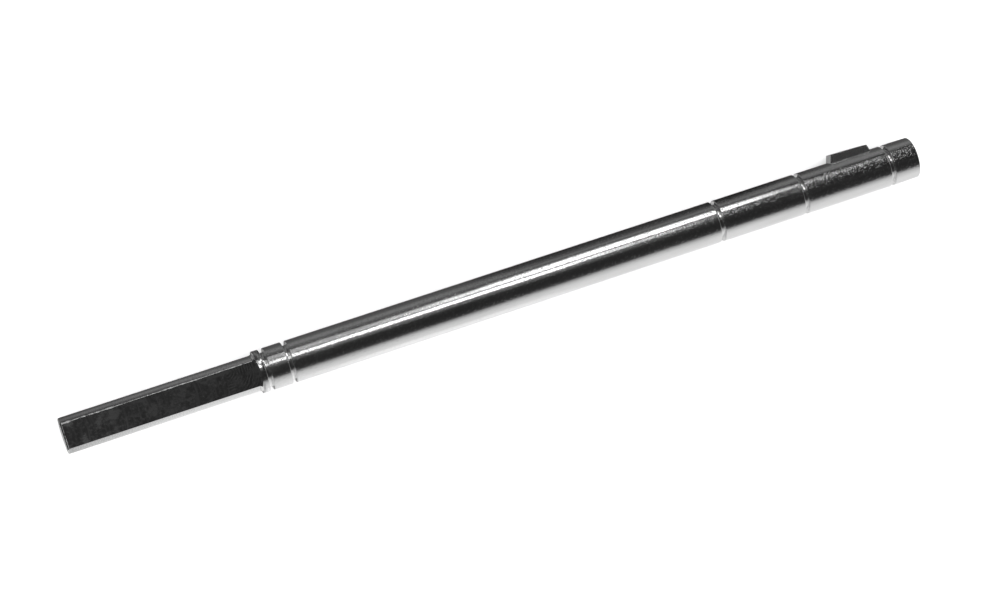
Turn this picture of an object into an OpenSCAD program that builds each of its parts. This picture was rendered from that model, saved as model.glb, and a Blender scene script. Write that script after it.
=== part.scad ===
// Crane shaft: a turned and plated steel shaft. A tongue with one milled flat takes the crane arm,
// five ring grooves locate it in its bearings, and a key near the far end takes the drive.
//
// The axis lies along X. The tongue's end face is at x = 0, the flat faces +Z
// and the key stands out towards +Y. All sizes are in millimetres.

/* [Shaft body] */
// Diameter of the ground shaft
shaft_d = 9.525; // [9:0.025:12]
// Chamfer at the key end of the shaft
end_chamfer = 0.15; // [0.05:0.05:0.8]
// Break on the corners of the shoulder and the grooves
edge_break = 0.1; // [0.02:0.01:0.15]

/* [Tongue] */
// Length of the turned-down tongue, from its end face to the shoulder
tongue_length = 44.1; // [25:0.1:80]
// Diameter of the tongue
tongue_d = 8.1; // [7:0.02:8.6]
// Chamfer round the end face of the tongue
tongue_chamfer = 0.15; // [0.05:0.05:0.5]
// Radius of the fillet that the turning tool leaves at the shoulder
shoulder_fillet = 0.7; // [0.1:0.05:1.2]
// Distance from the axis to the milled flat
flat_height = 2.86; // [2:0.02:3.4]
// Diameter of the end mill that cuts the flat
flat_cutter_d = 25.4; // [12:0.1:40]
// Distance that the end mill runs past the shoulder
flat_overrun = 0.3; // [0:0.05:0.6]
// Break filed on the edge between the flat and the end face
flat_end_break = 0.3; // [0.1:0.05:0.6]

/* [Ring grooves] */
// Diameter at the bottom of a retaining ring groove
groove_d = 7.7; // [7:0.02:8.8]
// Width of a retaining ring groove
groove_w = 1.02; // [0.7:0.01:1.6]

/* [Lands between the grooves] */
// Collar between the shoulder and the first groove
collar_w = 1.5; // [0.8:0.05:6]
// Stop seat between the first and the second groove
stop_seat_w = 4.2; // [2:0.1:12]
// Bearing journal between the second and the third groove
journal_length = 101.6; // [40:0.1:160]
// Spacer seat between the third and the fourth groove
spacer_seat_w = 19.8; // [6:0.1:40]
// Hub seat between the fourth and the fifth groove, which holds the key
hub_seat_w = 20.85; // [16:0.05:40]
// Land between the fifth groove and the end of the shaft
end_land_w = 6.05; // [2:0.05:15]

/* [Drive key] */
// Width of the key, across the shaft
key_w = 3.175; // [2:0.025:4]
// Length of the key where it leaves its seat
key_length = 10.1; // [6:0.05:13]
// Gap from the key seat to the fifth groove
key_to_groove = 2.45; // [0.6:0.05:3]
// Height of the key over the shaft surface, at the middle of its length
key_rise = 1.47; // [0.8:0.01:2.5]
// Lean of the key's end faces, in degrees
key_lean = 17.5; // [0:0.5:25]
// Pitch of the key in its seat, falling towards the end of the shaft, in degrees
key_pitch = 1.8; // [0:0.1:3]
// Diameter of the disc cutter that sinks the key seat
seat_cutter_d = 19.05; // [16:0.05:30]
// Clearance between the key and its seat
key_clearance = 0.02; // [0.01:0.01:0.05]

/* [Hidden] */
$fn = 96;

shaft_r = shaft_d / 2;
tongue_r = tongue_d / 2;
groove_r = groove_d / 2;

// Lands in order from the shoulder. A groove follows each of them but the last.
lands = [collar_w, stop_seat_w, journal_length, spacer_seat_w, hub_seat_w, end_land_w];
last_land = len(lands) - 1;

function land_total(count) = count == 0 ? 0 : lands[count - 1] + land_total(count - 1);
function groove_x(i) = tongue_length + land_total(i + 1) + i * groove_w;

shaft_length = tongue_length + land_total(len(lands)) + last_land * groove_w;

// The fillet is never larger than the step that it fills.
fillet_r = min(shoulder_fillet, shaft_r - tongue_r - edge_break);

// Tool passes start and end this far outside the metal.
overshoot = 1;

// The side walls of the key seat end at the seat line, where they meet the round surface.
seat_w = key_w + 2 * key_clearance;
seat_line = sqrt(pow(shaft_r, 2) - pow(seat_w / 2, 2));
seat_half_length = key_length / 2 + key_clearance;
seat_mid_x = groove_x(last_land - 1) - key_to_groove - seat_half_length;

// The disc cutter sinks until its chord at the seat line is as long as the seat.
seat_cutter_r = seat_cutter_d / 2;
seat_cutter_y = seat_line + sqrt(pow(seat_cutter_r, 2) - pow(seat_half_length, 2));
seat_depth = seat_line + seat_cutter_r - seat_cutter_y;

// Half section of the turned shaft: axial distance first, then radius.
module turned_section() {
    difference() {
        polygon([
            [0, 0],
            [0, tongue_r - tongue_chamfer],
            [tongue_chamfer, tongue_r],
            [tongue_length - fillet_r, tongue_r],
            [tongue_length - fillet_r, tongue_r + fillet_r],
            [tongue_length, tongue_r + fillet_r],
            [tongue_length, shaft_r - edge_break],
            [tongue_length + edge_break, shaft_r],
            [shaft_length - end_chamfer, shaft_r],
            [shaft_length, shaft_r - end_chamfer],
            [shaft_length, 0]
        ]);
        // Nose radius of the turning tool, which leaves the fillet at the shoulder.
        translate([tongue_length - fillet_r, tongue_r + fillet_r])
            circle(fillet_r);
        for (i = [0 : last_land - 1])
            groove_section(groove_x(i));
    }
}

// Ring groove with a small break on both of its corners.
module groove_section(x) {
    flare = 2 * edge_break;
    polygon([
        [x, groove_r],
        [x, shaft_r - edge_break],
        [x - flare, shaft_r + edge_break],
        [x + groove_w + flare, shaft_r + edge_break],
        [x + groove_w, shaft_r - edge_break],
        [x + groove_w, groove_r]
    ]);
}

// Sweep of the end mill that cuts the flat, up to its round end at the shoulder.
module flat_pass() {
    cutter_r = flat_cutter_d / 2;
    stop_x = tongue_length + flat_overrun - cutter_r;
    translate([0, 0, flat_height])
        linear_extrude(shaft_r)
            union() {
                translate([-overshoot, -cutter_r])
                    square([stop_x + overshoot, flat_cutter_d]);
                translate([stop_x, 0])
                    circle(cutter_r);
            }
}

// File stroke at 45 degrees across the edge between the flat and the end face.
module file_stroke() {
    translate([flat_end_break, 0, flat_height])
        rotate([0, -45, 0])
            translate([-shaft_d, -shaft_r, 0])
                cube([2 * shaft_d, shaft_d, shaft_r]);
}

// Side view of the disc cutter at the bottom of its plunge, or of the key's round underside.
module seat_arc(radius) {
    translate([seat_mid_x, seat_cutter_y])
        circle(radius);
}

// Plate with a side view in the plane of the axis and the key, centred on that plane.
module side_plate(width) {
    translate([0, 0, -width / 2])
        linear_extrude(width)
            children();
}

module shaft() {
    color("gainsboro")
        difference() {
            rotate([0, 90, 0])
                rotate_extrude()
                    mirror([1, -1])
                        turned_section();
            flat_pass();
            file_stroke();
            side_plate(seat_w)
                seat_arc(seat_cutter_r);
        }
}

// Side view of the key blank, from below the seat to its top. The ends lean in towards the top.
module key_blank_side() {
    top = shaft_r - seat_line + key_rise;
    bottom = -seat_depth - overshoot;
    top_half = key_length / 2 - top * tan(key_lean);
    bottom_half = key_length / 2 - bottom * tan(key_lean);
    polygon([
        [-bottom_half, bottom],
        [-top_half, top],
        [top_half, top],
        [bottom_half, bottom]
    ]);
}

module drive_key() {
    color("silver")
        side_plate(key_w)
            intersection() {
                seat_arc(seat_cutter_r - key_clearance);
                translate([seat_mid_x, seat_line])
                    rotate(-key_pitch)
                        key_blank_side();
            }
}

shaft();
drive_key();
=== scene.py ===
import math

import bmesh
import bpy
from mathutils import Euler, Matrix, Vector, noise


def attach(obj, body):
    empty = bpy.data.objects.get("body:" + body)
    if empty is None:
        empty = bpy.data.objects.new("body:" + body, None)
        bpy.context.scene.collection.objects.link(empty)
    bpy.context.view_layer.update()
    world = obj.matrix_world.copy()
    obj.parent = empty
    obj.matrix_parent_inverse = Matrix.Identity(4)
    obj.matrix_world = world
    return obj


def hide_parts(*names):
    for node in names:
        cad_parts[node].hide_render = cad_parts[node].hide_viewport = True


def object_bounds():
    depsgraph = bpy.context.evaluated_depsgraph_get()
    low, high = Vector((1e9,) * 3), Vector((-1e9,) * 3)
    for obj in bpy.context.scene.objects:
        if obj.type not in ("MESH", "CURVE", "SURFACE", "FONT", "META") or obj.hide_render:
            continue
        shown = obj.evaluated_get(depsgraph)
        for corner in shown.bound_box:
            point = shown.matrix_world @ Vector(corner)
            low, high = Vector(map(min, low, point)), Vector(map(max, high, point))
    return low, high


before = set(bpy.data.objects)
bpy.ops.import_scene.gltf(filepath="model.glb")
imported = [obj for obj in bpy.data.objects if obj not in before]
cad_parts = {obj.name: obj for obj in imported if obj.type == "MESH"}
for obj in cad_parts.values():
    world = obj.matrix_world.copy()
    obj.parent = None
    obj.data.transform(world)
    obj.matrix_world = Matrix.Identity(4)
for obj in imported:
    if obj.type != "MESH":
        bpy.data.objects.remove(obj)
cad_low, cad_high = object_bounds()

MM = 0.001

# Driving sizes, as in the part's source. The axis lies along X, from the tongue's end face.
SHAFT_LENGTH = cad_high.x - cad_low.x
SHAFT_R = 4.7625 * MM
TONGUE_LENGTH = 44.1 * MM
TONGUE_R = 4.05 * MM
GROOVE_R = 3.85 * MM
GROOVE_W = 1.02 * MM
COLLAR_W = 1.5 * MM
STOP_SEAT_W = 4.2 * MM
JOURNAL_LENGTH = 101.6 * MM
SPACER_SEAT_W = 19.8 * MM
HUB_SEAT_W = 20.85 * MM
FLAT_HEIGHT = 2.86 * MM
FLAT_CUTTER_R = 12.7 * MM
FLAT_OVERRUN = 0.3 * MM
KEY_W = 3.175 * MM
KEY_LENGTH = 10.1 * MM
KEY_TO_GROOVE = 2.45 * MM
KEY_RISE = 1.47 * MM
KEY_LEAN = math.radians(17.5)
KEY_PITCH = math.radians(1.8)
SEAT_CUTTER_R = 9.525 * MM
KEY_CLEARANCE = 0.02 * MM

# Corner breaks of the turned and milled edges.
TONGUE_CHAMFER = 0.15 * MM
END_CHAMFER = 0.15 * MM
SHOULDER_FILLET = 0.64 * MM
SHOULDER_CREST_ROUND = 0.05 * MM
GROOVE_CREST_ROUND = 0.13 * MM
GROOVE_ROOT_ROUND = 0.09 * MM
CHAMFER_SOFTENING = 0.03 * MM
MILLED_EDGE_BREAK = 0.03 * MM
KEY_EDGE_BREAK = 0.05 * MM
FLAT_END_BREAK = 0.3 * MM

# Facets of the round forms. The flat's long edges fall half-way between two facet lines of the shaft.
ROUND_STEPS = 180
MILL_STEPS = 120
SEAT_STEPS = 240
KEY_ARC_STEPS = 48
FILLET_STEPS = 8
CORNER_STEPS = 3

# Edges that bend more than this are corners to be broken.
CORNER_ANGLE = math.radians(25)

# Stations of the grooves and of the key seat.
land_widths = [COLLAR_W, STOP_SEAT_W, JOURNAL_LENGTH, SPACER_SEAT_W, HUB_SEAT_W]
groove_starts = []
station = TONGUE_LENGTH
for width in land_widths:
    station += width
    groove_starts.append(station)
    station += GROOVE_W

seat_w = KEY_W + 2 * KEY_CLEARANCE
seat_line = math.sqrt(SHAFT_R**2 - (seat_w / 2) ** 2)
seat_half_length = KEY_LENGTH / 2 + KEY_CLEARANCE
seat_mid_x = groove_starts[-1] - KEY_TO_GROOVE - seat_half_length
seat_cutter_y = seat_line + math.sqrt(SEAT_CUTTER_R**2 - seat_half_length**2)
flat_half_w = math.sqrt(TONGUE_R**2 - FLAT_HEIGHT**2)
mill_stop_x = TONGUE_LENGTH + FLAT_OVERRUN - FLAT_CUTTER_R

X_AXIS = Vector((1, 0, 0))
Z_AXIS = Vector((0, 0, 1))
ORIGIN = Vector((0, 0, 0))


def object_from(bm, name):
    """Turns the bmesh into a mesh object at the origin."""
    mesh = bpy.data.meshes.new(name)
    bm.to_mesh(mesh)
    bm.free()
    piece = bpy.data.objects.new(name, mesh)
    bpy.context.scene.collection.objects.link(piece)
    return piece


def round_corners(bm, corners, size, segments):
    """Rounds the given corners of an outline, or chamfers them with one segment."""
    made = bmesh.ops.bevel(
        bm,
        geom=corners,
        offset=size,
        offset_type="OFFSET",
        segments=segments,
        profile=0.5,
        affect="VERTICES",
        clamp_overlap=False,
        material=-1,
    )
    return made["verts"]


def break_edges(bm, edges, size, segments):
    """Takes the sharpness off the given edges."""
    bmesh.ops.bevel(
        bm,
        geom=edges,
        offset=size,
        offset_type="OFFSET",
        segments=segments,
        profile=0.5,
        affect="EDGES",
        clamp_overlap=True,
        material=-1,
    )


def close_mesh(bm, merge_distance):
    """Merges doubles and turns every face outwards."""
    bmesh.ops.remove_doubles(bm, verts=bm.verts, dist=merge_distance)
    bmesh.ops.recalc_face_normals(bm, faces=bm.faces)


def raise_outline(bm, outline, course):
    """Fills an outline and pulls it out into a closed solid."""
    made = bmesh.ops.contextual_create(bm, geom=outline)
    raised = bmesh.ops.extrude_face_region(bm, geom=made["faces"])
    lifted = [item for item in raised["geom"] if isinstance(item, bmesh.types.BMVert)]
    bmesh.ops.translate(bm, verts=lifted, vec=course)
    bmesh.ops.recalc_face_normals(bm, faces=bm.faces)


def smooth_faces(bm):
    for face in bm.faces:
        face.smooth = True


def shade_evenly(piece):
    """Lets the large faces lead the shading, so that narrow edge breaks don't bend it."""
    even = piece.modifiers.new("even_shading", "WEIGHTED_NORMAL")
    even.mode = "FACE_AREA"
    even.weight = 80
    even.keep_sharp = True


def turned_blank():
    """The shaft as it leaves the lathe: its half section spun about the axis."""
    bm = bmesh.new()
    core_r = TONGUE_R / 4
    merge_distance = 0.001 * MM
    outline = []

    def corner(x, radius):
        point = bm.verts.new((x, 0, radius))
        if outline:
            bm.edges.new((outline[-1], point))
        outline.append(point)
        return point

    crests = []
    roots = []
    corner(0, core_r)
    tongue_rim = corner(0, TONGUE_R)
    shoulder_root = corner(TONGUE_LENGTH, TONGUE_R)
    shoulder_crest = corner(TONGUE_LENGTH, SHAFT_R)
    for start in groove_starts:
        crests.append(corner(start, SHAFT_R))
        roots.append(corner(start, GROOVE_R))
        roots.append(corner(start + GROOVE_W, GROOVE_R))
        crests.append(corner(start + GROOVE_W, SHAFT_R))
    far_rim = corner(SHAFT_LENGTH, SHAFT_R)
    corner(SHAFT_LENGTH, core_r)

    round_corners(bm, [shoulder_root], SHOULDER_FILLET, FILLET_STEPS)
    round_corners(bm, roots, GROOVE_ROOT_ROUND, CORNER_STEPS)
    round_corners(bm, crests, GROOVE_CREST_ROUND, CORNER_STEPS)
    round_corners(bm, [shoulder_crest], SHOULDER_CREST_ROUND, CORNER_STEPS)
    rim_corners = round_corners(bm, [tongue_rim], TONGUE_CHAMFER, 1)
    rim_corners += round_corners(bm, [far_rim], END_CHAMFER, 1)
    round_corners(bm, rim_corners, CHAMFER_SOFTENING, 2)

    bmesh.ops.spin(
        bm,
        geom=bm.verts[:] + bm.edges[:],
        cent=ORIGIN,
        axis=X_AXIS,
        angle=2 * math.pi,
        steps=ROUND_STEPS,
        use_merge=True,
    )
    rims = [edge for edge in bm.edges if edge.is_boundary]
    bmesh.ops.holes_fill(bm, edges=rims, sides=0)
    close_mesh(bm, merge_distance)
    return object_from(bm, "shaft_plated")


def flat_pass():
    """The end mill's sweep over the tongue, with its round end at the shoulder."""
    bm = bmesh.new()
    overshoot = 1 * MM
    near_side = bm.verts.new((-overshoot, -FLAT_CUTTER_R, FLAT_HEIGHT))
    arc_start = bm.verts.new((mill_stop_x, -FLAT_CUTTER_R, FLAT_HEIGHT))
    bm.edges.new((near_side, arc_start))
    bmesh.ops.spin(
        bm,
        geom=[arc_start],
        cent=Vector((mill_stop_x, 0, FLAT_HEIGHT)),
        axis=Z_AXIS,
        angle=math.pi,
        steps=MILL_STEPS,
    )
    arc_end = max(bm.verts, key=lambda point: point.co.y)
    far_side = bm.verts.new((-overshoot, FLAT_CUTTER_R, FLAT_HEIGHT))
    bm.edges.new((arc_end, far_side))
    bm.edges.new((far_side, near_side))
    raise_outline(bm, bm.edges[:], (0, 0, SHAFT_R))
    return object_from(bm, "flat_pass")


def flat_end_break():
    """The file stroke that broke the sharp edge between the flat and the end face."""
    bm = bmesh.new()
    outside = 0.6 * MM
    side = 2 * TONGUE_R
    low = bm.verts.new((-outside, -side, FLAT_HEIGHT - FLAT_END_BREAK - outside))
    high = bm.verts.new((FLAT_END_BREAK + outside, -side, FLAT_HEIGHT + outside))
    corner = bm.verts.new((-outside, -side, FLAT_HEIGHT + outside))
    raise_outline(bm, [low, high, corner], (0, 2 * side, 0))
    return object_from(bm, "flat_end_break")


def seat_disc():
    """The disc cutter at the bottom of its plunge into the key seat."""
    bm = bmesh.new()
    bmesh.ops.create_cone(
        bm,
        cap_ends=True,
        segments=SEAT_STEPS,
        radius1=SEAT_CUTTER_R,
        radius2=SEAT_CUTTER_R,
        depth=seat_w,
    )
    bmesh.ops.translate(bm, verts=bm.verts, vec=(seat_mid_x, seat_cutter_y, 0))
    bmesh.ops.recalc_face_normals(bm, faces=bm.faces)
    return object_from(bm, "seat_disc")


def cut_away(piece, cutter):
    """Takes the cutter out of the piece and removes the cutter."""
    cut = piece.modifiers.new("cut", "BOOLEAN")
    cut.operation = "DIFFERENCE"
    cut.solver = "EXACT"
    cut.object = cutter
    depsgraph = bpy.context.evaluated_depsgraph_get()
    machined = bpy.data.meshes.new_from_object(piece.evaluated_get(depsgraph))
    piece.modifiers.clear()
    piece.data = machined
    bpy.data.objects.remove(cutter)


def machined_shaft(plating, milling):
    """Turned blank with the milled flat and the key seat, and its milled edges broken."""
    merge_distance = 0.0005 * MM
    edge_tolerance = 0.001 * MM
    face_tolerance = 0.01 * MM
    flat_end_x = TONGUE_LENGTH + FLAT_OVERRUN + 0.05 * MM
    facing_up = 0.999
    smooth_angle = math.radians(32)
    break_steps = 2

    shaft = turned_blank()
    cut_away(shaft, flat_pass())
    cut_away(shaft, flat_end_break())
    cut_away(shaft, seat_disc())
    shaft.data.materials.clear()
    shaft.data.materials.append(plating)
    shaft.data.materials.append(milling)

    bm = bmesh.new()
    bm.from_mesh(shaft.data)
    close_mesh(bm, merge_distance)

    def on_flat_edge(point):
        return abs(point.z - FLAT_HEIGHT) < edge_tolerance and point.x < flat_end_x

    def is_milled_edge(edge):
        if len(edge.link_faces) != 2:
            return False
        if edge.calc_face_angle_signed() < CORNER_ANGLE:
            return False
        return all(on_flat_edge(point.co) for point in edge.verts)

    milled_edges = [edge for edge in bm.edges if is_milled_edge(edge)]
    break_edges(bm, milled_edges, MILLED_EDGE_BREAK, break_steps)
    close_mesh(bm, merge_distance)
    smooth_faces(bm)
    for face in bm.faces:
        middle = face.calc_center_median()
        if face.normal.z > facing_up and abs(middle.z - FLAT_HEIGHT) < face_tolerance:
            face.material_index = 1
    for edge in bm.edges:
        edge.smooth = edge.calc_face_angle(0) < smooth_angle
    bm.to_mesh(shaft.data)
    bm.free()
    shade_evenly(shaft)
    return shaft


def drive_key():
    """The key: a plate with a round underside and leaning ends, pitched in its seat."""
    bm = bmesh.new()
    arc_r = SEAT_CUTTER_R - KEY_CLEARANCE
    centre = Vector((seat_mid_x, seat_cutter_y, -KEY_W / 2))
    top = SHAFT_R - seat_line + KEY_RISE
    blank_half = KEY_LENGTH / 2
    deepest = -2 * MM
    shallowest = 0.5 * MM
    halvings = 60

    def blank_point(along, height):
        turned = Matrix.Rotation(-KEY_PITCH, 3, "Z") @ Vector((along, height, 0))
        return turned + Vector((seat_mid_x, seat_line, -KEY_W / 2))

    def end_on_arc(side):
        """The point where a leaning end meets the round underside, closed in on by halving."""
        low = deepest
        high = shallowest
        for _ in range(halvings):
            height = (low + high) / 2
            point = blank_point(side * (blank_half - height * math.tan(KEY_LEAN)), height)
            if (point - centre).length > arc_r:
                low = height
            else:
                high = height
        return point

    near_foot = end_on_arc(-1)
    far_foot = end_on_arc(1)
    top_half = blank_half - top * math.tan(KEY_LEAN)
    near_angle = math.atan2(near_foot.y - centre.y, near_foot.x - centre.x)
    far_angle = math.atan2(far_foot.y - centre.y, far_foot.x - centre.x)
    near_vert = bm.verts.new(near_foot)
    bmesh.ops.spin(
        bm,
        geom=[near_vert],
        cent=centre,
        axis=Z_AXIS,
        angle=far_angle - near_angle,
        steps=KEY_ARC_STEPS,
    )
    far_vert = max(bm.verts, key=lambda point: point.co.x)
    far_top = bm.verts.new(blank_point(top_half, top))
    near_top = bm.verts.new(blank_point(-top_half, top))
    bm.edges.new((far_vert, far_top))
    bm.edges.new((far_top, near_top))
    bm.edges.new((near_top, near_vert))
    raise_outline(bm, bm.edges[:], (0, 0, KEY_W))
    corners = [edge for edge in bm.edges if edge.calc_face_angle(0) > CORNER_ANGLE]
    break_edges(bm, corners, KEY_EDGE_BREAK, CORNER_STEPS)
    smooth_faces(bm)
    key = object_from(bm, "drive_key_steel")
    shade_evenly(key)
    return key


def flat_burr():
    """The ragged burr that the end mill threw up along one long edge of the flat and over its end."""
    bm = bmesh.new()
    step = 0.12 * MM
    thinnest = 0.03 * MM
    thick_near_end = 0.24 * MM
    thick_near_shoulder = 0.10 * MM
    thick_over_end = 0.08 * MM
    wander = 0.06 * MM
    burr_inset = 0.05 * MM
    flatness = 0.3
    bead_sides = 12
    fade_power = 4
    roll = math.radians(22)
    lumps_per_metre = 1100
    patches_per_metre = 230
    even_share = 0.5
    lump_share = 0.9
    patch_share = 0.6
    second_bead_seed = 0.5

    def burr_size(along, reach):
        lump = noise.noise(Vector((along * lumps_per_metre, 3.1, 7.7)))
        patch = noise.noise(Vector((along * patches_per_metre, 1.3, 5.2)))
        return thinnest + reach * max(0, even_share + lump_share * lump + patch_share * patch)

    def bead(start, end, reach_start, reach_end, lean, seed):
        """One flattened bead of burr from start to end, which leans over the edge between them."""
        course = end - start
        count = int(course.length / step)
        made = bmesh.ops.create_circle(bm, cap_ends=True, segments=bead_sides, radius=1.0)
        bmesh.ops.scale(bm, verts=made["verts"], vec=(1, flatness, 1))
        aim = course.normalized().to_track_quat("Z", "Y").to_matrix()
        up_turn = (aim @ Vector((0, 1, 0))).rotation_difference(lean).to_matrix()
        bmesh.ops.rotate(bm, verts=made["verts"], cent=ORIGIN, matrix=up_turn @ aim)
        ring = made["verts"]
        spokes = [point.co.copy() for point in ring]
        face = ring[0].link_faces[0]
        for index in range(count + 1):
            share = index / count
            along = seed + share * course.length
            size = burr_size(along, reach_end + (reach_start - reach_end) * (1 - share) ** fade_power)
            drift = noise.noise(Vector((along * patches_per_metre, 9.4, 2.6))) * wander
            if index > 0:
                raised = bmesh.ops.extrude_face_region(bm, geom=[face])
                bmesh.ops.delete(bm, geom=[face], context="FACES_ONLY")
                face = [item for item in raised["geom"] if isinstance(item, bmesh.types.BMFace)][0]
                ring = face.verts[:]
            middle = sum((point.co for point in ring), Vector()) / len(ring)
            place = start + course * share + lean.cross(course.normalized()) * drift
            for point in ring:
                spoke = point.co - middle
                nearest = max(spokes, key=lambda other: other.normalized().dot(spoke.normalized()))
                point.co = place + nearest * size

    burr_y = flat_half_w - burr_inset
    bead(
        Vector((FLAT_END_BREAK + burr_inset, burr_y, FLAT_HEIGHT)),
        Vector((TONGUE_LENGTH - SHOULDER_FILLET, burr_y, FLAT_HEIGHT)),
        thick_near_end,
        thick_near_shoulder,
        Vector((0, math.sin(roll), math.cos(roll))),
        0.0,
    )
    bead(
        Vector((FLAT_END_BREAK, burr_y, FLAT_HEIGHT)),
        Vector((FLAT_END_BREAK, -burr_y, FLAT_HEIGHT)),
        0.0,
        thick_over_end,
        Vector((-math.sin(roll), 0, math.cos(roll))),
        second_bead_seed,
    )
    bmesh.ops.recalc_face_normals(bm, faces=bm.faces)
    smooth_faces(bm)
    return object_from(bm, "flat_burr")


class Nodes:
    """Short ways to add and join the nodes of one material or of the studio's surroundings."""

    def __init__(self, tree):
        self.tree = tree

    def add(self, kind, **settings):
        node = self.tree.nodes.new(kind)
        for name, value in settings.items():
            setattr(node, name, value)
        return node

    def join(self, source, target):
        self.tree.links.new(source, target)

    def feed(self, socket, value):
        if isinstance(value, bpy.types.NodeSocket):
            self.join(value, socket)
        else:
            socket.default_value = value

    def sum(self, operation, first, second=None, third=None):
        node = self.add("ShaderNodeMath", operation=operation)
        for socket, value in zip(node.inputs, (first, second, third)):
            if value is not None:
                self.feed(socket, value)
        return node.outputs[0]

    def fit(self, value, low, high, to_low, to_high, smooth=False):
        node = self.add("ShaderNodeMapRange", interpolation_type="SMOOTHSTEP" if smooth else "LINEAR")
        for socket, given in zip(node.inputs[:5], (value, low, high, to_low, to_high)):
            self.feed(socket, given)
        return node.outputs[0]

    def stretch(self, vector, scale):
        node = self.add("ShaderNodeMapping")
        node.inputs["Scale"].default_value = scale
        self.join(vector, node.inputs["Vector"])
        return node.outputs[0]

    def grain(self, vector, scale=1.0, detail=2.0, roughness=0.5):
        node = self.add("ShaderNodeTexNoise")
        node.inputs["Scale"].default_value = scale
        node.inputs["Detail"].default_value = detail
        node.inputs["Roughness"].default_value = roughness
        self.join(vector, node.inputs["Vector"])
        return node.outputs[0]

    def ramp(self, value, stops):
        node = self.add("ShaderNodeValToRGB")
        ends = node.color_ramp.elements
        ends[0].position = stops[0][0]
        ends[0].color = (*[stops[0][1]] * 3, 1)
        ends[1].position = stops[-1][0]
        ends[1].color = (*[stops[-1][1]] * 3, 1)
        for position, level in stops[1:-1]:
            stop = ends.new(position)
            stop.color = (level, level, level, 1)
        self.join(value, node.inputs[0])
        return node.outputs[0]

    def relief(self, height, distance, under=None):
        node = self.add("ShaderNodeBump")
        node.inputs["Strength"].default_value = 1.0
        node.inputs["Distance"].default_value = distance
        self.join(height, node.inputs["Height"])
        if under is not None:
            self.join(under, node.inputs["Normal"])
        return node.outputs[0]


def new_material(name):
    """A metal with no marks yet, its nodes, its shader and the place on the piece."""
    material = bpy.data.materials.new(name)
    material.use_nodes = True
    tree = material.node_tree
    tree.nodes.clear()
    nodes = Nodes(tree)
    shader = nodes.add("ShaderNodeBsdfPrincipled")
    output = nodes.add("ShaderNodeOutputMaterial")
    nodes.join(shader.outputs[0], output.inputs["Surface"])
    shader.inputs["Metallic"].default_value = 1.0
    place = nodes.add("ShaderNodeTexCoord").outputs["Object"]
    return material, nodes, shader, place


def plated_steel():
    """Bright plating over ground steel: rubbed streaks along the shaft, small pits, faint turning lines."""
    material, nodes, shader, place = new_material("plated_steel")

    # Marks per metre, along the shaft and across it.
    smear_scale = (60, 260, 260)
    streak_scale = (650, 4200, 4200)
    speck_scale = (2600, 3300, 3300)
    turning_scale = (14000, 0, 0)
    grain_scale = 3200

    # Heights of the marks.
    turning_height = 0.0004 * MM
    streak_height = 0.003 * MM
    grain_height = 0.012 * MM
    pit_height = 0.009 * MM

    # Noise levels between which a mark sets in, and what it then does.
    pit_onset = (0.57, 0.70)
    streak_onset = (0.5, 0.75)
    streak_roughness = (0.06, 0.09)
    grain_onset = (0.38, 0.62)
    grain_share = (0.25, 1)
    smear_shades = [(0.3, 0.72), (0.7, 0.80)]

    smears = nodes.grain(nodes.stretch(place, smear_scale), detail=3.0)
    streaks = nodes.grain(nodes.stretch(place, streak_scale), detail=3.0, roughness=0.6)
    specks = nodes.grain(nodes.stretch(place, speck_scale), detail=2.0, roughness=0.6)
    turning = nodes.grain(nodes.stretch(place, turning_scale), detail=1.0)
    grain = nodes.grain(place, grain_scale, detail=1.0)
    grain = nodes.sum("MULTIPLY", grain, nodes.fit(smears, *grain_onset, *grain_share))
    pits = nodes.fit(specks, *pit_onset, 0, 1, smooth=True)

    nodes.join(nodes.ramp(smears, smear_shades), shader.inputs["Base Color"])
    nodes.join(nodes.fit(streaks, *streak_onset, *streak_roughness), shader.inputs["Roughness"])
    marks = nodes.relief(turning, turning_height)
    marks = nodes.relief(streaks, streak_height, under=marks)
    marks = nodes.relief(grain, grain_height, under=marks)
    marks = nodes.relief(pits, pit_height, under=marks)
    nodes.join(marks, shader.inputs["Normal"])
    return material


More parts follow.
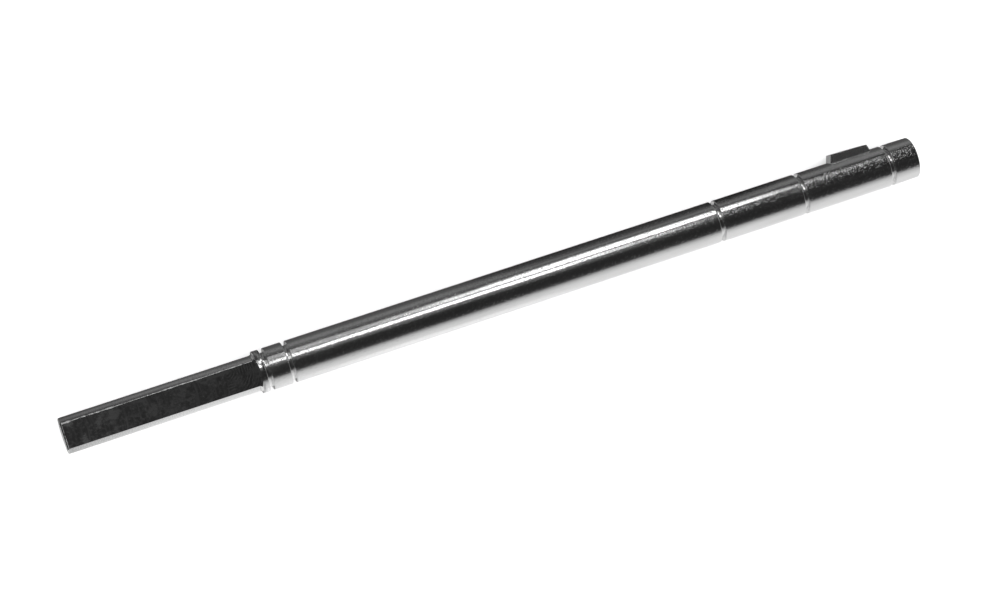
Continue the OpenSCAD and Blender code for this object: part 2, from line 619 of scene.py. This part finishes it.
def milled_plating():
    """The same plating over the milled flat: the end mill's feed arcs and rings, and dull patches."""
    material, nodes, shader, place = new_material("milled_plating")
    parts = nodes.add("ShaderNodeSeparateXYZ")
    nodes.join(place, parts.inputs[0])
    along = parts.outputs[0]
    across = parts.outputs[1]
    mark_height = 0.001 * MM

    # Feed arcs over the whole flat, as wide as the end mill.
    feed_scale_along = 1300
    feed_scale_across = 90
    feed_onset = (0.48, 0.75)
    feed_strength = 0.55
    drop = nodes.sum("SUBTRACT", FLAT_CUTTER_R**2, nodes.sum("MULTIPLY", across, across))
    arc = nodes.sum("SUBTRACT", along, nodes.sum("SQRT", drop))
    feed_place = nodes.add("ShaderNodeCombineXYZ")
    nodes.join(nodes.sum("MULTIPLY", arc, feed_scale_along), feed_place.inputs[0])
    nodes.join(nodes.sum("MULTIPLY", across, feed_scale_across), feed_place.inputs[1])
    feed = nodes.grain(feed_place.outputs[0], detail=2.0, roughness=0.6)
    feed_marks = nodes.fit(feed, *feed_onset, 0, feed_strength)

    # Rings where the end mill stood still before it was lifted.
    ring_x = 37.5 * MM
    ring_y = 2.1 * MM
    ring_pitch = 0.62 * MM
    ring_start_x = 36.6 * MM
    ring_fade = 0.8 * MM
    ring_wobble = 0.9 * MM
    ring_strength = 0.65
    ring_onset = (-0.2, 1.0)
    wobble_scale = 700
    wobble_onset = (0.35, 0.6)
    wobble_share = (0.25, 1)
    from_x = nodes.sum("SUBTRACT", along, ring_x)
    from_y = nodes.sum("SUBTRACT", across, ring_y)
    square = nodes.sum("MULTIPLY_ADD", from_x, from_x, nodes.sum("MULTIPLY", from_y, from_y))
    wobble = nodes.grain(place, wobble_scale, detail=2.0)
    reach = nodes.sum("MULTIPLY_ADD", wobble, ring_wobble, nodes.sum("SQRT", square))
    rings = nodes.sum("SINE", nodes.sum("MULTIPLY", reach, 2 * math.pi / ring_pitch))
    rings = nodes.fit(rings, *ring_onset, 0, ring_strength)
    ring_region = nodes.fit(along, ring_start_x, ring_start_x + ring_fade, 0, 1)
    rings = nodes.sum("MULTIPLY", rings, ring_region)
    rings = nodes.sum("MULTIPLY", rings, nodes.fit(wobble, *wobble_onset, *wobble_share))

    # Dull patches, most of them near the tongue's end, and small spots all over.
    patch_scale = (420, 520, 520)
    patch_onset = (0.44, 0.62)
    patch_fade_x = (2 * MM, 16 * MM)
    patch_strength = (1, 0.5)
    spot_scale = 1500
    spot_onset = (0.5, 0.72)
    spot_strength = 0.6
    patch_noise = nodes.grain(nodes.stretch(place, patch_scale), detail=5.0, roughness=0.7)
    patches = nodes.fit(patch_noise, *patch_onset, 0, 1, smooth=True)
    patches = nodes.sum("MULTIPLY", patches, nodes.fit(along, *patch_fade_x, *patch_strength))
    spot_noise = nodes.grain(place, spot_scale, detail=3.0, roughness=0.6)
    spots = nodes.fit(spot_noise, *spot_onset, 0, spot_strength)

    dull = nodes.sum("MAXIMUM", patches, nodes.sum("MAXIMUM", rings, feed_marks))
    dull = nodes.sum("MAXIMUM", dull, spots)
    dull_shades = [(0.0, 0.34), (1.0, 1.0)]
    nodes.join(nodes.ramp(dull, dull_shades), shader.inputs["Base Color"])
    shader.inputs["Roughness"].default_value = 0.09
    marks = nodes.relief(feed, mark_height)
    marks = nodes.relief(rings, mark_height, under=marks)
    nodes.join(marks, shader.inputs["Normal"])
    return material


def key_steel():
    """Drawn key steel: fine lines along the key and satin faces."""
    material, nodes, shader, place = new_material("key_steel")
    drawn_scale = (300, 4200, 4200)
    drawn_height = 0.0003 * MM
    smear_scale = 300
    smear_onset = (0.3, 0.7)
    smear_roughness = (0.11, 0.15)
    smear_shades = [(0.3, 0.60), (0.7, 0.66)]
    drawn = nodes.grain(nodes.stretch(place, drawn_scale), detail=2.0)
    smears = nodes.grain(place, smear_scale, detail=2.0)
    nodes.join(nodes.ramp(smears, smear_shades), shader.inputs["Base Color"])
    nodes.join(nodes.fit(smears, *smear_onset, *smear_roughness), shader.inputs["Roughness"])
    shader.inputs["Metallic"].default_value = 0.98
    nodes.join(nodes.relief(drawn, drawn_height), shader.inputs["Normal"])
    return material


def torn_steel():
    """The burr: dull metal, torn and then plated over."""
    material, nodes, shader, place = new_material("torn_steel")
    tear_scale = 2200
    tear_onset = (0.3, 0.7)
    tear_roughness = (0.35, 0.6)
    tear_shades = [(0.35, 0.35), (0.65, 0.75)]
    tears = nodes.grain(place, tear_scale, detail=2.0)
    nodes.join(nodes.ramp(tears, tear_shades), shader.inputs["Base Color"])
    nodes.join(nodes.fit(tears, *tear_onset, *tear_roughness), shader.inputs["Roughness"])
    shader.inputs["Metallic"].default_value = 0.85
    return material


def pale_floor():
    """A pale floor that sweeps up into a wall all round."""
    bm = bmesh.new()
    floor_r = 1.8
    wall_r = 2.3
    sweep_height = 0.5
    wall_top = 2.4
    wall_steps = 64
    merge_distance = 0.1 * MM
    floor_z = cad_low.z
    outline = [(0, 0), (floor_r, 0), (wall_r, sweep_height), (wall_r, wall_top)]
    points = [bm.verts.new((radius, 0, floor_z + height)) for radius, height in outline]
    for first, second in zip(points, points[1:]):
        bm.edges.new((first, second))
    bmesh.ops.spin(
        bm,
        geom=bm.verts[:] + bm.edges[:],
        cent=ORIGIN,
        axis=Z_AXIS,
        angle=2 * math.pi,
        steps=wall_steps,
        use_merge=True,
    )
    close_mesh(bm, merge_distance)
    bmesh.ops.translate(bm, verts=bm.verts, vec=(SHAFT_LENGTH / 2, 0, 0))
    smooth_faces(bm)
    floor = object_from(bm, "floor")
    material = bpy.data.materials.new("pale_floor")
    material.use_nodes = True
    shader = material.node_tree.nodes["Principled BSDF"]
    shader.inputs["Base Color"].default_value = (0.9, 0.9, 0.9, 1)
    shader.inputs["Roughness"].default_value = 0.9
    shader.inputs["Specular IOR Level"].default_value = 0.0
    floor.data.materials.append(material)
    floor.visible_glossy = False
    floor.visible_shadow = False
    return floor


def studio_surroundings():
    """What the bright metal mirrors: a dark room, a white table below and two long window lights.

    A direction is placed by two measures. Its turn is the angle round the shaft, in degrees from
    straight up towards the key side. Its along is the part of it that points to the key's end.
    """
    world = bpy.data.worlds.new("studio")
    bpy.context.scene.world = world
    world.use_nodes = True
    tree = world.node_tree
    tree.nodes.clear()
    nodes = Nodes(tree)
    parts = nodes.add("ShaderNodeSeparateXYZ")
    nodes.join(nodes.add("ShaderNodeTexCoord").outputs["Generated"], parts.inputs[0])
    along = parts.outputs[0]
    turn = nodes.sum("DEGREES", nodes.sum("ARCTAN2", parts.outputs[1], parts.outputs[2]))
    turn_size = nodes.sum("ABSOLUTE", turn)

    def both(first, second):
        return nodes.sum("MULTIPLY", first, second)

    def rise(value, start, end, soft=False):
        """Nothing before the start and one after the end."""
        return nodes.fit(value, start, end, 0, 1, smooth=soft)

    def fall(value, start, end, soft=False):
        """One before the start and nothing after the end."""
        return nodes.fit(value, start, end, 1, 0, smooth=soft)

    def past(value, edge, blur):
        """One where the value has passed a blurred edge."""
        return rise(nodes.sum("SUBTRACT", value, edge), -blur, blur, soft=True)

    def band(value, low, high, blur):
        """One between two blurred edges and nothing outside them."""
        return both(past(value, low, blur), past(high, value, blur))

    def dimmed(light, share, level):
        """The light, brought to this level of itself where the share is one."""
        return both(light, nodes.fit(share, 0, 1, 1, level))

    def lit(light, share, level):
        """The light, with this level added where the share is one."""
        return nodes.sum("MULTIPLY_ADD", share, level, light)

    # Light level of the room by the turn.
    half_turn = 180
    levels = [
        (-180, 0.72), (-172, 0.78), (-160, 0.92), (-128, 0.88), (-111, 0.86), (-98, 0.84), (-86, 0.78),
        (-75, 0.66), (-65, 0.50), (-58, 0.27), (-52, 0.09), (-47, 0.045), (-38, 0.028), (-21, 0.022),
        (-5, 0.026), (3, 0.030), (11, 0.036), (19, 0.048), (27, 0.065), (35, 0.08), (53, 0.09),
        (71, 0.085), (80, 0.13), (92, 0.22), (104, 0.20), (117, 0.12), (134, 0.09), (160, 0.09),
        (174, 0.12), (180, 0.15),
    ]
    level_stops = [((angle + half_turn) / (2 * half_turn), level) for angle, level in levels]

    # Over the tongue the bands beyond the key side lie a little further round.
    tongue_along = (0.095, 0.118)
    tongue_turn = (60, 80)
    tongue_shift = 22
    shift = both(nodes.fit(along, *tongue_along, tongue_shift, 0), rise(turn, *tongue_turn))
    shifted_turn = nodes.sum("SUBTRACT", turn, shift)
    room = nodes.ramp(rise(shifted_turn, -half_turn, half_turn), level_stops)

    # The room is darker behind the middle of the shaft and beyond the tongue's end.
    gap_along = (0.203, 0.307, 0.012)
    gap_turn = (82, 100)
    gap_level = 0.4
    end_along = (-0.80, -0.66)
    end_level = 0.07
    gap = both(band(along, *gap_along), rise(turn, *gap_turn, soft=True))
    room = dimmed(room, gap, gap_level)
    room = both(room, nodes.fit(along, *end_along, end_level, 1))

    # Over the spacer seat the dark of the room starts further round, the nearer the key the further.
    spacer_along = (0.287, 0.3185, 0.004)
    spacer_edge_along = (0.2966, 0.313)
    spacer_edge_turn = (102, 120)
    spacer_edge_blur = 8
    spacer_level = 0.4
    spacer_edge = nodes.fit(along, *spacer_edge_along, *spacer_edge_turn)
    spacer_gap = both(band(along, *spacer_along), past(turn, spacer_edge, spacer_edge_blur))
    room = dimmed(room, spacer_gap, spacer_level)

    # A dark rim lies over the end of the second window.
    rim_along = (0.300, 0.312)
    rim_turn = (66, 77, 5)
    rim_level = 0.5
    room = dimmed(room, both(rise(along, *rim_along), band(turn, *rim_turn)), rim_level)

    # The table lies in the shaft's own shadow under the two grooves beside the shoulder.
    shadow_along = (-0.21, -0.105, 0.01)
    shadow_turn = (155, 165)
    shadow_level = 0.15
    shadow = both(band(along, *shadow_along), rise(turn_size, *shadow_turn))
    room = dimmed(room, shadow, shadow_level)

    # Beyond the tongue's end the room is paler on the key side, and palest low down near the table.
    beyond_along = (-0.2, -0.12)
    beyond_turn = (108, 190, 8)
    beyond_level = 0.11
    low_table_along = (-0.24, -0.22)
    low_table_turn = (174, 178)
    low_table_level = 0.5
    room = lit(room, both(fall(along, *beyond_along), band(turn, *beyond_turn)), beyond_level)
    low_table = both(fall(along, *low_table_along), rise(turn, *low_table_turn))
    room = lit(room, low_table, low_table_level)

    # Both sides of the room fall off towards the tongue's end.
    side_start = (-0.11, -0.09)
    side_end = (0.045, 0.09)
    side_turn = (50, 70)
    side_level = 0.6
    sides = both(fall(along, *side_end), rise(along, *side_start))
    room = dimmed(room, both(sides, rise(turn_size, *side_turn)), side_level)

    # The ceiling is a little paler straight above the tongue, where the flat mirrors it.
    ceiling_along = (0.112, 0.122)
    ceiling_turn = (-25, 15, 5)
    ceiling_level = 0.03
    room = lit(room, both(fall(along, *ceiling_along), band(turn, *ceiling_turn)), ceiling_level)

    # Overhead the room falls off towards the key's end of the shaft.
    overhead_along = (0.29, 0.34)
    overhead_turn = (4, 46, 8)
    overhead_level = 0.45
    overhead = both(rise(along, *overhead_along), band(turn, *overhead_turn))
    room = dimmed(room, overhead, overhead_level)

    # The table is brightest beside the journal's first half.
    bright_along = (0.138, 0.222, 0.01)
    bright_turn = (-148, -110, 8)
    bright_level = 0.22
    room = lit(room, both(band(along, *bright_along), band(turn, *bright_turn)), bright_level)

    # A wide pale wall stands beyond the key's end of the shaft, with a broad light at its top.
    wall_along = (0.53, 0.63)
    wall_level = 0.22
    wall_light_turn = (8, 72, 10)
    wall_light_level = 0.75
    wall_light = lit(wall_level, band(turn, *wall_light_turn), wall_light_level)
    room = lit(room, rise(along, *wall_along, soft=True), wall_light)

    # Two window lights lie beside each other, and the second one starts further along the shaft.
    window_level = 2.2
    near_turn = (22.5, 37.5, 2)
    near_end_along = (0.228, 0.268)
    near_start_along = (0.115, 0.17)
    near_start_level = 0.42
    near_window = both(band(turn, *near_turn), fall(along, *near_end_along))
    near_window = both(near_window, nodes.fit(along, *near_start_along, near_start_level, 1))

    far_along = (0.200, 0.305, 0.012)
    far_start_along = (0.20, 0.237)
    far_start_top = (59, 66)
    far_end_along = (0.28, 0.335)
    far_end_top = (66, 57)
    far_end_foot = (43, 50)
    far_foot_blur = 2
    far_top_blur = 8
    far_foot = nodes.fit(along, *far_end_along, *far_end_foot)
    first_top = nodes.fit(along, *far_start_along, *far_start_top)
    last_top = nodes.fit(along, *far_end_along, *far_end_top)
    far_top = nodes.sum("MINIMUM", first_top, last_top)
    far_window = both(band(turn, far_foot, half_turn, far_foot_blur), band(along, *far_along))
    far_window = both(far_window, past(far_top, turn, far_top_blur))
    windows = both(nodes.sum("ADD", near_window, far_window), window_level)

    # A dim card stands in the second window's place over the tongue's half of the shaft.
    card_end_along = (0.188, 0.21)
    card_top_along = (0.145, 0.18)
    card_top_turn = (65, 60)
    card_foot = 42
    card_blur = 3
    card_level = 0.32
    card_top = nodes.fit(along, *card_top_along, *card_top_turn)
    card = both(band(turn, card_foot, card_top, card_blur), fall(along, *card_end_along, soft=True))
    light = nodes.sum("ADD", lit(windows, card, card_level), room)

    # A faint glow lies below the first window.
    glow_start_turn = (-4, 21)
    glow_end_turn = (24, 38)
    glow_start_along = (0.105, 0.125)
    glow_end_along = (0.24, 0.29)
    glow_level = 0.16
    glow = both(rise(turn, *glow_start_turn, soft=True), fall(turn, *glow_end_turn))
    glow = both(glow, both(rise(along, *glow_start_along), fall(along, *glow_end_along)))
    light = lit(light, glow, glow_level)

    # A low card beyond the tongue lights the near end of the key.
    low_card_turn = (166, 176, 2)
    low_card_along = (-0.33, -0.265, 0.01)
    low_card_level = 0.26
    low_card = both(band(turn, *low_card_turn), band(along, *low_card_along))
    light = lit(light, low_card, low_card_level)

    background = nodes.add("ShaderNodeBackground")
    nodes.join(light, background.inputs["Color"])
    output = nodes.add("ShaderNodeOutputWorld")
    nodes.join(background.outputs[0], output.inputs["Surface"])


def overhead_light():
    """A large soft light that lights the floor and isn't mirrored in the metal."""
    light_height = 1.5
    light_size = 2.6
    light_power = 54
    data = bpy.data.lights.new("overhead_light", "AREA")
    data.shape = "DISK"
    data.size = light_size
    data.energy = light_power
    lamp = bpy.data.objects.new("overhead_light", data)
    bpy.context.scene.collection.objects.link(lamp)
    lamp.location = (SHAFT_LENGTH / 2, 0, light_height)
    lamp.visible_glossy = False
    lamp.visible_camera = False
    return lamp


def photo_camera():
    """The photograph's camera, fitted to the outline and the grooves of the shaft."""
    camera_place = (-29.17 * MM, 31.92 * MM, 609.0 * MM)
    camera_turns = (0.8307, -12.4006, -17.9825)
    data = bpy.data.cameras.new("photo_camera")
    data.sensor_width = 36
    data.lens = 100.8
    data.clip_start = 0.01
    data.clip_end = 20
    camera = bpy.data.objects.new("photo_camera", data)
    bpy.context.scene.collection.objects.link(camera)
    camera.location = camera_place
    camera.rotation_euler = Euler([math.radians(angle) for angle in camera_turns])
    bpy.context.scene.camera = camera
    return camera


photo_camera()

shaft = machined_shaft(plated_steel(), milled_plating())
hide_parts("shaft")
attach(shaft, "root")

key = drive_key()
key.data.materials.append(key_steel())
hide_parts("drive_key")
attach(key, "root")

burr = flat_burr()
burr.data.materials.append(torn_steel())
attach(burr, "root")

pale_floor()
studio_surroundings()
overhead_light()
bpy.context.scene.view_settings.view_transform = "Standard"
